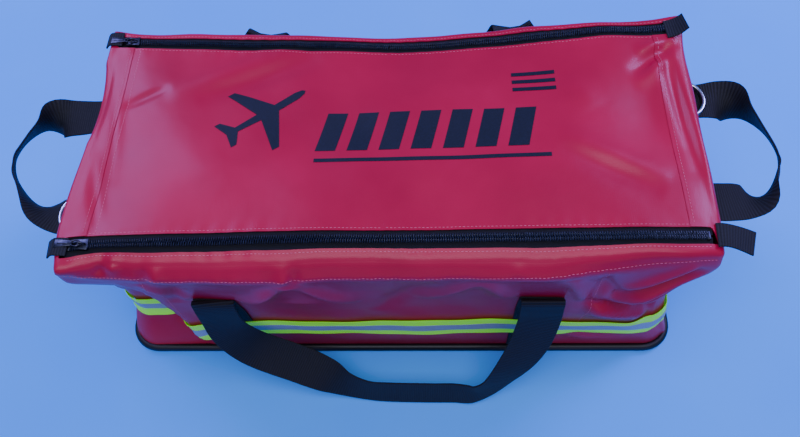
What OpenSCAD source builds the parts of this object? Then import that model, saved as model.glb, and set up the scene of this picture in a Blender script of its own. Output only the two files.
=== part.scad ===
// Soft-sided zipped equipment bag of coated fabric on a stiff black base, with webbing carry handles,
// D-rings and a reflective band. Origin at the centre of the underside, +X along the length,
// +Y to the back, +Z up. Millimetres.

/* [Bag] */
// Length along the top edge
top_l = 700; // [580:4:840]
// How far the base stands out past the top at each end
base_out = 22; // [10:1:27]
// Width from front to back
bag_w = 312; // [260:4:376]
// Height from the floor to the top panel
bag_h = 305; // [250:1:366]
// Thickness of the coated fabric
skin_t = 2.5; // [2:0.1:3]

/* [Base] */
// Thickness of the black base fabric
base_t = 3; // [2:0.5:4]
// Thickness of the stiffening board inside
board_t = 5; // [3:0.5:8]
// Gap between the board and the walls
board_gap = 2; // [1:0.5:4]
// How far the bottom piping stands out past the walls
piping_w = 7; // [5:0.5:9]
// Height of the bottom piping
piping_h = 8; // [6:0.5:10]
// Corner radius of the base
base_r = 14; // [13:1:30]

/* [Webbing] */
// Width of all carrying webbing
web_w = 50.8; // [42:0.2:61]
// Thickness of the webbing
web_t = 2.5; // [2:0.1:3]

/* [Long handles] */
// Distance between the centres of a long handle's two legs
handle_span = 380; // [320:5:456]
// Shift of the front handle and its backing along the bag
front_shift = -14; // [-30:1:30]
// Length of a long handle from the wall to the outside of its grip
handle_reach = 195; // [165:1:215]
// How far below the top edge the legs leave the wall
handle_fold = 110; // [95:1:120]
// Lean of a freely hanging handle off the vertical
hang_lean = 17; // [12:1:30]
// Height of a grip that comes down to the floor
grip_floor = 8.5; // [5:0.5:20]
// Stretch of the back legs that stands up before it folds over
back_stand = 92; // [70:1:100]

/* [End handles] */
// Distance between the centres of an end handle's two legs
end_span = 146; // [120:1:175]
// How far the fold lies below the top edge
end_fold = 65; // [50:1:95]
// Reach of an end handle from its fold
end_reach = 125; // [105:1:150]
// Droop of an end handle below the wall's normal
end_droop = 12; // [8:1:20]

/* [D-rings] */
// Thickness of the ring's wire
ring_wire = 5; // [4:0.1:6]
// Gap around the ring's bar in its keeper
ring_gap = 0.4; // [0.3:0.1:0.6]

/* [Zips] */
// Distance between the two zip centre lines
zip_span = 271; // [225:1:280]
// Distance from each end of the top to the end of the zip tape
zip_inset = 12; // [8:1:18]
// Half of the tape width left uncovered by the fabric
tape_show = 9.5; // [8:0.5:11]
// Width of the tape sewn under the fabric
tape_lap = 6.5; // [4:0.5:8]
// Thickness of the zip tape
tape_t = 1.5; // [1:0.1:1.8]
// Width of one half of the coil
coil_w = 3.9; // [3.5:0.1:4.4]
// Height of the coil
coil_t = 2.8; // [2.4:0.1:3.2]
// Gap between the two coil halves
coil_gap = 2.6; // [2.4:0.1:3]
// Length of the slider body
slider_l = 17; // [14:0.5:20]
// Running clearance of the slider
slider_gap = 0.4; // [0.3:0.1:0.5]
// Length of the slider's pull from its pivot
pull_l = 27; // [22:1:32]

/* [Reflective band] */
// Height of the band's centre line
band_z = 85; // [70:1:110]
// Width of the yellow-green tape
band_w = 50; // [40:1:60]
// Width of the silver stripe
stripe_w = 18; // [12:1:24]

/* [Hidden] */
$fn = 48;

red = [0.72, 0.09, 0.20];
black = [0.06, 0.06, 0.07];
gunmetal = [0.33, 0.29, 0.27];
lime = [0.75, 0.95, 0.10];
silver = [0.72, 0.73, 0.75];

// Walls
base_l = top_l + 2 * base_out;
end_slope = atan(base_out / bag_h);
fabric_z = bag_h - skin_t;
function end_x(z) = base_l / 2 - base_out * z / bag_h;

// Inside reinforcement of the long sides
backing_l = handle_span + 2 * web_w + 18;
backing_t = 2;
backing_low = 30;
backing_top = bag_h - 45;

// Top
flap_w = 35;
lid_gap = 0.5;
lid_l = top_l - 2 * flap_w - 2 * lid_gap;
lid_zip_l = lid_l - 21;

// Zips
zip_l = top_l - 2 * zip_inset;
zip_y = zip_span / 2;
tape_z = fabric_z - tape_t;
coil_z = fabric_z;
coil_top = coil_z + coil_t;
tape_gap = 3.6;
stop_l = 4;
stop_end = 3;
coil_l = zip_l - 2 * (stop_l + stop_end);
park_x = (lid_zip_l + coil_l) / 4;
post_w = coil_gap - 2 * 0.35;
slider_w = 13.6;
plate_t = 1.5;
slider_low = tape_z - slider_gap - plate_t;
slider_top = coil_top + slider_gap + plate_t;
bridge_w = 3.2;
bridge_l = 12;
pin_r = 1;
pivot_z = slider_top + 2;
bridge_top = pivot_z + pin_r + slider_gap + 1.6;
pull_t = 1.6;
tab_w = 32;
tab_t = 4;
start_tab_t = 1.5;

// Webbing
handle_z = bag_h - handle_fold;
handle_lean = max(hang_lean, acos(min(1, (handle_z - grip_floor) / handle_reach)));
end_fold_z = bag_h - end_fold;
sew_low = 14;
fold_out = web_t + 4.5;
root_lean = 8;
strap_top = handle_z - 1;
end_pivot_out = ring_wire / 2 + ring_gap + 3.6;
keeper_r = ring_wire / 2 + ring_gap + 1.6;
keeper_w = 46;
keeper_h = 22;
leg_start = keeper_r + 0.8;
leg_drop = ring_wire / 2 + web_t / 2 + 0.45;
ring_r = (web_w + ring_wire) / 2 + 0.1;
band_t = 1;
stripe_t = 0.5;

// Flat outline with rounded corners, half_x by half_y about the origin
module rounded_outline(half_x, half_y, r) {
  for (turn = [0, 180])
    rotate(turn) for (side = [-1, 1])
      translate([half_x - r, side * (half_y - r)]) circle(r);
  square([2 * (half_x - r), 2 * half_y], center = true);
  square([2 * half_x, 2 * (half_y - r)], center = true);
}

// Local frame of an end wall: +X outwards, +Z up the slope, 0 is the right end
module at_end(turn) {
  rotate([0, 0, turn]) translate([base_l / 2, 0, 0]) rotate([0, -end_slope, 0]) children();
}

// Local frame of a long wall: +X outwards, -90 is the front and 90 the back
module at_side(turn) {
  rotate([0, 0, turn]) translate([bag_w / 2, 0, 0]) children();
}

// Zip pieces are drawn for the back zip, with -1 for the front
module at_zip(side) {
  if (side > 0)
    translate([0, zip_y, 0]) children();
  else
    mirror([0, 1, 0]) translate([0, zip_y, 0]) children();
}

// ---- Base
module base_panel() {
  color(black) linear_extrude(base_t)
    rounded_outline(base_l / 2 + piping_w - 3, bag_w / 2 + piping_w - 3, base_r - 3);
}

module base_board() {
  inset = skin_t + board_gap;
  color([0.55, 0.42, 0.28]) translate([0, 0, base_t + 0.3]) linear_extrude(board_t)
    rounded_outline(base_l / 2 - inset - 1, bag_w / 2 - inset, 8);
}

module base_piping() {
  color(black) translate([0, 0, base_t]) linear_extrude(piping_h) difference() {
    rounded_outline(base_l / 2 + piping_w, bag_w / 2 + piping_w, base_r);
    square([base_l, bag_w], center = true);
  }
}

// ---- Walls
module long_wall() {
  low = end_x(base_t);
  high = end_x(fabric_z);
  rotate([90, 0, 0]) linear_extrude(skin_t)
    polygon([[-low, base_t], [low, base_t], [high, fabric_z], [-high, fabric_z]]);
}

module end_wall() {
  low = end_x(base_t);
  high = end_x(fabric_z);
  depth = bag_w - 2 * skin_t;
  translate([0, depth / 2, 0]) rotate([90, 0, 0]) linear_extrude(depth)
    polygon([[low - skin_t, base_t], [low, base_t], [high, fabric_z], [high - skin_t, fabric_z]]);
}

module front_panel() { color(red) translate([0, -bag_w / 2 + skin_t, 0]) long_wall(); }
module back_panel() { color(red) translate([0, bag_w / 2, 0]) long_wall(); }
module right_end_panel() { color(red) end_wall(); }
module left_end_panel() { color(red) rotate([0, 0, 180]) end_wall(); }

module backing(shift) {
  translate([-skin_t - backing_t, shift - backing_l / 2, backing_low])
    cube([backing_t, backing_l, backing_top - backing_low]);
}

module front_backing() { color([0.5, 0.06, 0.12]) at_side(-90) backing(front_shift); }
module back_backing() { color([0.5, 0.06, 0.12]) at_side(90) backing(0); }

// ---- Top strips and end flaps
module top_strip() {
  inner = zip_y + tape_show;
  translate([-top_l / 2, inner, fabric_z]) cube([top_l, bag_w / 2 - inner, skin_t]);
}

module top_flap() {
  half = zip_y - tape_show;
  translate([top_l / 2 - flap_w, -half, fabric_z]) cube([flap_w, 2 * half, skin_t]);
}

module back_top_strip() { color(red) top_strip(); }
module front_top_strip() { color(red) mirror([0, 1, 0]) top_strip(); }
module right_top_flap() { color(red) top_flap(); }
module left_top_flap() { color(red) mirror([1, 0, 0]) top_flap(); }

// ---- Zips
module tape_half(len) {
  translate([-len / 2, tape_gap / 2, tape_z])
    cube([len, tape_show + tape_lap - tape_gap / 2, tape_t]);
}

module coil_half(len) {
  translate([-len / 2, coil_gap / 2, coil_z]) cube([len, coil_w, coil_t]);
}

// What is left at both ends when the lid's own length is taken away
module end_pieces() {
  difference() {
    children();
    cube([lid_zip_l + 2 * lid_gap, 3 * bag_w, 3 * bag_h], center = true);
  }
}

module back_outer_tape() { color(black) at_zip(1) tape_half(zip_l); }
module front_outer_tape() { color(black) at_zip(-1) tape_half(zip_l); }
module back_outer_coil() { color(black) at_zip(1) coil_half(coil_l); }
module front_outer_coil() { color(black) at_zip(-1) coil_half(coil_l); }

module inner_tape_ends() {
  color(black) for (side = [-1, 1])
    end_pieces() at_zip(side) mirror([0, 1, 0]) tape_half(zip_l);
}

module inner_coil_ends() {
  color(black) for (side = [-1, 1])
    end_pieces() at_zip(side) mirror([0, 1, 0]) coil_half(coil_l);
}

module zip_stops() {
  width = coil_gap + 2 * coil_w;
  color(gunmetal) for (side = [-1, 1])
    at_zip(side) for (end = [-1, 1])
      translate([end * (coil_l + stop_l) / 2 - stop_l / 2, -width / 2, coil_z])
        cube([stop_l, width, coil_t]);
}

module zip_end_tabs() {
  tab_from = coil_l / 2;
  tab_to = top_l / 2 + 27;
  color(black) for (side = [-1, 1])
    at_zip(side) translate([tab_from, -tab_w / 2, coil_top]) cube([tab_to - tab_from, tab_w, tab_t]);
}

module zip_start_tabs() {
  tab_from = coil_l / 2;
  tab_to = top_l / 2 + 12;
  color(black) for (side = [-1, 1])
    at_zip(side) translate([-tab_to, -tape_show - 1, coil_top])
      cube([tab_to - tab_from, 2 * tape_show + 2, start_tab_t]);
}

module slider() {
  half = slider_w / 2;
  flange_t = 1.2;
  translate([-park_x, 0, 0]) {
    for (low = [slider_low, slider_top - plate_t])
      translate([-slider_l / 2, -half, low]) cube([slider_l, slider_w, plate_t]);
    translate([slider_l / 2 - 6, -post_w / 2, slider_low]) cube([5, post_w, slider_top - slider_low]);
    for (side = [-1, 1])
      translate([-slider_l / 2, side * (half - flange_t / 2) - flange_t / 2, fabric_z + slider_gap])
        cube([slider_l, flange_t, slider_top - fabric_z - slider_gap]);
    difference() {
      translate([-bridge_l / 2, -bridge_w / 2, slider_top]) cube([bridge_l, bridge_w, bridge_top - slider_top]);
      translate([-bridge_l / 2 + 1.6, -bridge_w, slider_top])
        cube([bridge_l - 3.2, 2 * bridge_w, pivot_z + pin_r + slider_gap - slider_top]);
    }
  }
}

module pull() {
  arm = bridge_w / 2 + slider_gap;
  arm_w = 2;
  eye_l = bridge_l / 2 + 1.4;
  translate([-park_x, 0, pivot_z]) {
    rotate([90, 0, 0]) cylinder(r = pin_r, h = 2 * (arm + arm_w), center = true);
    for (side = [-1, 1])
      translate([-eye_l, side * (arm + arm_w / 2) - arm_w / 2, -pull_t / 2]) cube([eye_l, arm_w, pull_t]);
    translate([0, 0, -pull_t / 2]) linear_extrude(pull_t)
      polygon([[-eye_l, -arm - arm_w], [-eye_l, arm + arm_w], [-pull_l + 2, 5.5],
        [-pull_l, 4.5], [-pull_l, -4.5], [-pull_l + 2, -5.5]]);
  }
}

module back_slider() { color(gunmetal) at_zip(1) slider(); }
module front_slider() { color(gunmetal) at_zip(-1) slider(); }
module back_pull() { color(gunmetal) at_zip(1) pull(); }
module front_pull() { color(gunmetal) at_zip(-1) pull(); }

// ---- Lid
module top_panel() {
  half = zip_y - tape_show;
  color(red) translate([-lid_l / 2, -half, fabric_z]) cube([lid_l, 2 * half, skin_t]);
}

module back_inner_tape() { color(black) at_zip(1) mirror([0, 1, 0]) tape_half(lid_zip_l); }
module front_inner_tape() { color(black) at_zip(-1) mirror([0, 1, 0]) tape_half(lid_zip_l); }
module back_inner_coil() { color(black) at_zip(1) mirror([0, 1, 0]) coil_half(lid_zip_l); }
module front_inner_coil() { color(black) at_zip(-1) mirror([0, 1, 0]) coil_half(lid_zip_l); }

// Half of a plain aeroplane seen from above, nose to +Y
module aeroplane_half() {
  polygon([[0, 60], [3, 57], [5, 48], [5, 20], [50, -8], [50, -17], [5, -4], [3.5, -34],
    [19, -45], [19, -52], [0, -47]]);
}

module lid_print() {
  bars = 7;
  bar_pitch = 36;
  color([0.08, 0.10, 0.16]) translate([0, 0, bag_h]) linear_extrude(0.4) {
    translate([-145, 28]) rotate(-52) {
      aeroplane_half();
      mirror([1, 0]) aeroplane_half();
    }
    for (i = [0:bars - 1])
      translate([-68 + i * bar_pitch, 0])
        polygon([[-12, -22], [11, -22], [23, 32], [0, 32]]);
    translate([-80, -38]) square([262, 5]);
    for (i = [0:2])
      translate([146, 56 + 11 * i]) square([50, 5]);
  }
}

// ---- Webbing sewn to the walls
module sewn_strap(centre, top) {
  translate([0, centre - web_w / 2, sew_low]) cube([web_t, web_w, top - sew_low]);
}

module front_straps() {
  color(black) at_side(-90) for (leg = [-1, 1])
    sewn_strap(front_shift + leg * handle_span / 2, strap_top);
}

module back_straps() {
  color(black) at_side(90) for (leg = [-1, 1])
    sewn_strap(leg * handle_span / 2, strap_top);
}

module end_straps() {
  for (leg = [-1, 1])
    sewn_strap(leg * end_span / 2, end_fold_z - keeper_r - 1);
}

module right_straps() { color(black) at_end(0) end_straps(); }
module left_straps() { color(black) at_end(180) end_straps(); }

// Lower stretch of the back handle's legs, standing up off the wall
module back_handle_roots() {
  color(black) at_side(90) for (leg = [-1, 1])
    translate([web_t, leg * handle_span / 2 - web_w / 2, handle_z]) rotate([0, root_lean, 0])
      cube([web_t, web_w, back_stand - 2]);
}

// ---- Reflective band, laid over the sewn straps
module band(len, shift, span) {
  difference() {
    translate([0, -len / 2, band_z - band_w / 2]) cube([web_t + band_t, len, band_w]);
    for (leg = [-1, 1])
      sewn_strap(shift + leg * span / 2, strap_top);
  }
}

module stripe(len) {
  translate([web_t + band_t, -len / 2, band_z - stripe_w / 2]) cube([stripe_t, len, stripe_w]);
}

long_band = 2 * end_x(band_z + band_w / 2 + 1);
module front_band() { color(lime) at_side(-90) band(long_band, front_shift, handle_span); }
module back_band() { color(lime) at_side(90) band(long_band, 0, handle_span); }
module right_band() { color(lime) at_end(0) band(bag_w, 0, end_span); }
module left_band() { color(lime) at_end(180) band(bag_w, 0, end_span); }
module front_stripe() { color(silver) at_side(-90) stripe(long_band); }
module back_stripe() { color(silver) at_side(90) stripe(long_band); }
module right_stripe() { color(silver) at_end(0) stripe(bag_w); }
module left_stripe() { color(silver) at_end(180) stripe(bag_w); }

// ---- Handles
// Flat U of webbing in the X-Y plane, legs starting at start and grip reaching out to reach
module webbing_loop(span, start, reach) {
  outer_r = min(60, (reach - start) / 2);
  inner_r = outer_r - web_w + 18;
  half = span / 2 + web_w / 2;
  translate([0, 0, -web_t / 2]) linear_extrude(web_t) difference() {
    union() {
      translate([start, -half]) square([reach - outer_r - start, 2 * half]);
      translate([start, -half + outer_r]) square([reach - start, 2 * (half - outer_r)]);
      for (side = [-1, 1])
        translate([reach - outer_r, side * (half - outer_r)]) circle(outer_r);
    }
    translate([start - 1, -half + web_w])
      square([reach - web_w - inner_r - start + 1, 2 * (half - web_w)]);
    translate([start - 1, -half + web_w + inner_r])
      square([reach - web_w - start + 1, 2 * (half - web_w - inner_r)]);
    for (side = [-1, 1])
      translate([reach - web_w - inner_r, side * (half - web_w - inner_r)]) circle(inner_r);
  }
}

module front_handle() {
  color(black) at_side(-90) translate([fold_out, front_shift, handle_z])
    rotate([0, 90 - handle_lean, 0]) webbing_loop(handle_span, 0, handle_reach);
}

// Fold at the top of the standing back legs
back_fold_out = web_t * 1.5 + back_stand * sin(root_lean) + 2;
back_fold_z = handle_z + back_stand * cos(root_lean) + 2;

module back_handle() {
  color(black) at_side(90) translate([back_fold_out, 0, back_fold_z])
    rotate([0, 90 - handle_lean, 0]) webbing_loop(handle_span, 0, handle_reach - back_stand);
}

module end_handle() {
  translate([end_pivot_out, 0, end_fold_z]) rotate([0, end_droop, 0]) translate([0, 0, -leg_drop])
    webbing_loop(end_span, leg_start, end_reach);
}

module right_handle() { color(black) at_end(0) end_handle(); }
module left_handle() { color(black) at_end(180) end_handle(); }

// ---- D-rings
module ring_keeper() {
  translate([end_pivot_out, end_span / 2, end_fold_z]) difference() {
    union() {
      rotate([90, 0, 0]) cylinder(r = keeper_r, h = keeper_w, center = true);
      translate([-end_pivot_out, -keeper_w / 2, 0]) cube([end_pivot_out, keeper_w, keeper_r]);
      translate([-end_pivot_out, -keeper_w / 2, 0]) cube([web_t, keeper_w, keeper_h]);
    }
    rotate([90, 0, 0]) cylinder(r = ring_wire / 2 + ring_gap, h = 2 * keeper_w, center = true);
  }
}

module d_ring() {
  wire_r = ring_wire / 2;
  translate([end_pivot_out, end_span / 2, end_fold_z]) rotate([0, end_slope, 0]) {
    rotate([90, 0, 0]) cylinder(r = wire_r, h = 2 * ring_r, center = true);
    for (side = [-1, 1])
      translate([0, side * ring_r, 0]) sphere(wire_r);
    rotate([0, 0, -90]) rotate_extrude(angle = 180) translate([ring_r, 0]) circle(wire_r);
  }
}

module right_ring_keeper() { color(black) at_end(0) ring_keeper(); }
module left_ring_keeper() { color(black) at_end(180) ring_keeper(); }
module right_ring() { color(silver) at_end(0) d_ring(); }
module left_ring() { color(silver) at_end(180) d_ring(); }

base_panel();
base_board();
base_piping();
front_panel();
back_panel();
left_end_panel();
right_end_panel();
front_backing();
back_backing();
front_top_strip();
back_top_strip();
left_top_flap();
right_top_flap();
front_outer_tape();
back_outer_tape();
front_outer_coil();
back_outer_coil();
inner_tape_ends();
inner_coil_ends();
zip_stops();
zip_end_tabs();
zip_start_tabs();
front_straps();
back_straps();
left_straps();
right_straps();
back_handle_roots();
front_band();
back_band();
left_band();
right_band();
front_stripe();
back_stripe();
left_stripe();
right_stripe();
left_ring_keeper();
right_ring_keeper();
top_panel();
front_inner_tape();
back_inner_tape();
front_inner_coil();
back_inner_coil();
lid_print();
front_slider();
back_slider();
front_pull();
back_pull();
front_handle();
back_handle();
left_handle();
right_handle();
left_ring();
right_ring();
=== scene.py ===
import math
import bpy
import numpy as np
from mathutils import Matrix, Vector


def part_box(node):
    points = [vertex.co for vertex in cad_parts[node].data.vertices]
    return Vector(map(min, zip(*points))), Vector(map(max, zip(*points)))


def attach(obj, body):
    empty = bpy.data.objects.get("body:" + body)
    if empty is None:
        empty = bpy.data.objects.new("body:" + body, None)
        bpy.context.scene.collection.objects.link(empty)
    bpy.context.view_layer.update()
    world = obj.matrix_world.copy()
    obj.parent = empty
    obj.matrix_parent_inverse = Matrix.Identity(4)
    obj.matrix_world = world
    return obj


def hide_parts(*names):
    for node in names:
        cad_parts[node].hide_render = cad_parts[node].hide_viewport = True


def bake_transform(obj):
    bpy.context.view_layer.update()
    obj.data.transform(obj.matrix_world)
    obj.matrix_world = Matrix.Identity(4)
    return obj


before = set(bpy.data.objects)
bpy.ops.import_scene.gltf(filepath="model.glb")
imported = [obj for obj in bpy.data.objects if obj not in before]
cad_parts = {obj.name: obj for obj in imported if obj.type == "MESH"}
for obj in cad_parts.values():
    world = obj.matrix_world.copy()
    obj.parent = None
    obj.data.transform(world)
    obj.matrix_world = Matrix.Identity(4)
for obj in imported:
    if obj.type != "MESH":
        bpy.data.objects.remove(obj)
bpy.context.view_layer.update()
mm = 0.001
print("frame loaded:", len(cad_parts), "nodes")

# the bag as cut and sewn, before it slumps, in mm
bag = {
    "wall": abs(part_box("front_panel")[0][1]) / mm,
    "top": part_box("top_panel")[1][2] / mm,
    "halfLow": 372.0,
    "lean": 22.0,
    "cornerLow": 38.0,  # upright corners open out towards the base
    "cornerHigh": 5.0,
    "foldRadius": 5.0,
    "zipY": 135.5,
    "cloth": 1.1,
    "webWidth": 50.0,
    "webThick": 2.2,
}


# how the coated cloth slumps
def ease(a, b, v):
    t = np.clip((v - a) / (b - a), 0, 1)
    return t * t * (3 - 2 * t)


def halfLength(z):
    return bag["halfLow"] - bag["lean"] * z / bag["top"]


# looks up a rounded-off table
def smoothTable(at, values, width):
    fine = np.arange(-420.0, 421.0, 2.0)
    flat = np.interp(fine, at, values)
    kernel = np.hanning(int(width))
    kernel /= kernel.sum()
    pad = len(kernel)
    soft = np.convolve(np.pad(flat, pad, mode="edge"), kernel, mode="same")[pad:-pad]
    return lambda v: np.interp(v, fine, soft)


slump = {
    # how far a wall stands out of its plane at each height
    "frontOut": smoothTable([0, 50, 110, 150, 195, 230, 262, 280, 288, 297, 305],
                            [-8, -8, -5, -3, 1, 6, 13, 17.5, 17, 10, 3], 7),
    "backOut": smoothTable([0, 50, 120, 180, 230, 262, 285, 305],
                           [-8, -6, 0, 4, 3, 0, -2, -3], 15),
    # how the two long top edges wander along the bag
    "frontEdgeY": smoothTable([-350, -318, -139, 18, 172, 344], [-5, -4, 0, 1, 1.5, 0], 21),
    "frontEdgeZ": smoothTable([-350, -300, -139, 18, 172, 330, 350], [2, 0, -1, -2, -2, 0, -4], 21),
    "backEdgeY": smoothTable([-350, -326, -173, 14, 136, 259, 350], [6, 5, 5, 4, 5, 8, 4], 21),
    "backEdgeZ": smoothTable([-350, -300, -173, 14, 136, 259, 345], [2, 1, -7, -15, -9, 2, 1], 25),
}

# soft dents and swellings: centre, reach, push
pushes = [
    ((-352, -158, 300), (34, 26, 26), (11, -12, 3)),  # front left ear
    ((-352, -156, 283), (26, 24, 13), (-3, 5, 3)),
    ((352, -158, 300), (34, 26, 26), (-4, 2, -2)),  # front right ear
    ((352, 156, 300), (32, 40, 40), (6, 5, 5)),
    ((-350, 156, 300), (30, 30, 30), (3, 2, 2)),
    ((-360, 10, 165), (60, 95, 75), (15, 0, 0)),  # left end sucked in
    ((362, 0, 150), (60, 90, 80), (-9, 0, 0)),
    ((-350, 30, 290), (40, 80, 40), (5, 0, -3)),
    ((-250, -20, 305), (70, 90, 60), (0, 0, 3)),
    ((-30, 30, 305), (170, 70, 60), (0, 0, -8)),
    ((230, -20, 305), (80, 90, 60), (0, 0, 3)),
    ((300, 20, 305), (46, 60, 60), (0, 0, -5)),
    ((285, -158, 200), (60, 30, 60), (0, -9, 0)),  # right of the front bellies out
    ((60, -158, 150), (130, 30, 60), (0, 4, 0)),
    ((-120, -158, 215), (70, 30, 50), (0, -4, 0)),
    ((-190, 158, 200), (60, 40, 60), (0, 5, 0)),
    ((190, 158, 190), (60, 40, 60), (0, 4, 0)),
]

# corners that cave in under the stiff top edge: corner, push, heights where it starts and stops, reach
caves = [
    ((-358, -156), (9, 0), (-5, 80, 130, 235), (64, 74)),
    ((-358, -156), (24, 8), (150, 215, 225, 262), (64, 74)),
    ((360, -156), (-17, 4), (2, 70, 90, 285), (50, 84)),
    ((360, -156), (-12, 18), (70, 170, 180, 285), (58, 70)),
    ((-358, 156), (9, -6), (20, 90, 200, 285), (50, 60)),
    ((358, 156), (-9, -6), (20, 90, 200, 285), (50, 60)),
]

# sharp creases, as lines in space: start, end, width, push
creases = [
    ((-253, 61, 305), (-110, 132, 303), 15, (0, 0, 4.5)),
    ((-215, 52, 305), (-90, 112, 303), 12, (0, 0, -3.0)),
    ((296, 104, 305), (338, 120, 303), 7, (0, 0, 5)),
    ((286, 76, 305), (334, 112, 303), 8, (0, 0, -5)),
    ((292, 60, 305), (334, 104, 303), 8, (0, 0, 4)),
    ((326, 118, 305), (336, -60, 305), 6, (0, 0, -4)),
    ((338, 112, 305), (346, -110, 305), 7, (0, 0, 3)),
    ((312, 104, 305), (318, -20, 305), 9, (0, 0, 2.4)),
    ((200, -10, 305), (300, -62, 305), 13, (0, 0, 3.2)),
    ((196, -30, 305), (290, -80, 305), 12, (0, 0, -2.6)),
    ((210, 70, 305), (236, 30, 305), 15, (0, 0, 2)),
    ((-346, 96, 303), (-350, 0, 296), 12, (7, 0, -2)),
    ((-308, 40, 305), (-262, 66, 305), 6, (0, 0, -2.4)),
    ((-322, 60, 305), (-300, -60, 305), 8, (0, 0, 1.8)),
    ((-330, -30, 305), (-303, -122, 305), 9, (0, 0, -2.4)),
    ((-292, -172, 292), (-281, -146, 303), 6, (2, -3, 3)),
    ((-306, -172, 286), (-292, -150, 303), 6, (-2, 3, -3)),
    ((-246, -176, 268), (-238, -148, 303), 6, (2, -3, 2)),
    ((-258, -174, 262), (-250, -150, 300), 7, (-2, 4, -2)),
    ((-110, -172, 258), (-104, -150, 300), 6, (1, -3, 2)),
    ((-96, -172, 262), (-92, -150, 300), 6, (0, 3, -2)),
    ((138, -160, 292), (146, -128, 304), 6, (0, -1, 2)),
    ((262, -156, 236), (322, -156, 282), 8, (0, -6, 0)),
    ((252, -156, 212), (330, -156, 272), 7, (0, 6, 0)),
    ((254, -156, 190), (338, -156, 262), 9, (0, -10, 0)),
    ((268, -156, 176), (342, -156, 240), 7, (0, 8, 0)),
    ((286, -156, 158), (346, -156, 222), 9, (0, -9, 0)),
    ((232, -156, 262), (262, -156, 204), 8, (0, 5, 0)),
    ((-262, -156, 262), (-236, -156, 196), 9, (0, -8, 0)),
    ((-232, -156, 262), (-250, -156, 190), 9, (0, 6, 0)),
    ((-106, -156, 270), (-166, -156, 196), 10, (0, -10, 0)),
    ((-102, -156, 270), (-44, -156, 190), 11, (0, -9, 0)),
    ((-104, -156, 262), (-104, -156, 190), 22, (0, 6, 0)),
    ((40, -156, 250), (-10, -156, 150), 14, (0, 5, 0)),
    ((96, -156, 262), (40, -156, 190), 12, (0, -8, 0)),
    ((110, -156, 262), (140, -156, 196), 12, (0, -8, 0)),
    ((200, -156, 270), (222, -156, 196), 9, (0, -6, 0)),
    ((236, -156, 272), (226, -156, 150), 6, (0, 4, 0)),
    ((190, -160, 80), (260, -158, 30), 10, (0, -3, 0)),
    ((215, -160, 60), (300, -158, 44), 9, (0, 3, 0)),
    ((-300, -158, 110), (-210, -158, 24), 10, (0, -4, 0)),
    ((-312, -158, 70), (-240, -158, 20), 9, (0, 4, 0)),
    ((-366, -60, 250), (-366, -20, 110), 13, (5, 0, 0)),
    ((-366, 60, 240), (-366, 30, 90), 13, (5, 0, 0)),
    ((-366, 110, 270), (-366, 60, 200), 10, (-4, 0, 0)),
    ((-366, -110, 270), (-366, -50, 190), 10, (-4, 0, 0)),
    ((-368, 0, 200), (-370, 10, 60), 15, (-3, 0, 0)),
    ((366, -60, 240), (366, -24, 100), 13, (-5, 0, 0)),
    ((366, 50, 240), (366, 30, 80), 13, (-4, 0, 0)),
    ((366, 110, 260), (366, 60, 180), 10, (4, 0, 0)),
    ((366, -110, 260), (366, -60, 180), 10, (4, 0, 0)),
    ((-300, 158, 270), (-230, 158, 160), 12, (0, 5, 0)),
    ((-120, 158, 250), (-60, 158, 120), 15, (0, -4, 0)),
    ((60, 158, 260), (20, 158, 120), 14, (0, 4, 0)),
    ((130, 158, 230), (90, 158, 90), 15, (0, -3, 0)),
    ((300, 158, 270), (240, 158, 150), 12, (0, 5, 0)),
    ((-330, 158, 120), (-240, 158, 40), 11, (0, -4, 0)),
    ((330, 158, 120), (250, 158, 36), 11, (0, -4, 0)),
]

# places where a wall laps over itself: ends as (along, height), step, sharpness, reach
laps = [
    ("front", (-290, 262), (-262, 26), 5, 4, 26),
    ("front", (226, 186), (336, 124), -11, 4, 32),
]


def roundCorner(a, b, r):
    inside = (a > -r) & (b > -r)
    u = np.where(inside, 1 + a / r, 0)
    v = np.where(inside, 1 + b / r, 0)
    over = np.maximum(1, np.maximum(u, v))  # pieces that stand out of the cloth keep their distance
    u, v = np.minimum(u, 1), np.minimum(v, 1)
    newA = np.where(inside, r * (over * u * np.sqrt(1 - v * v / 2) - 1), a)
    newB = np.where(inside, r * (over * v * np.sqrt(1 - u * u / 2) - 1), b)
    return newA, newB


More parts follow.
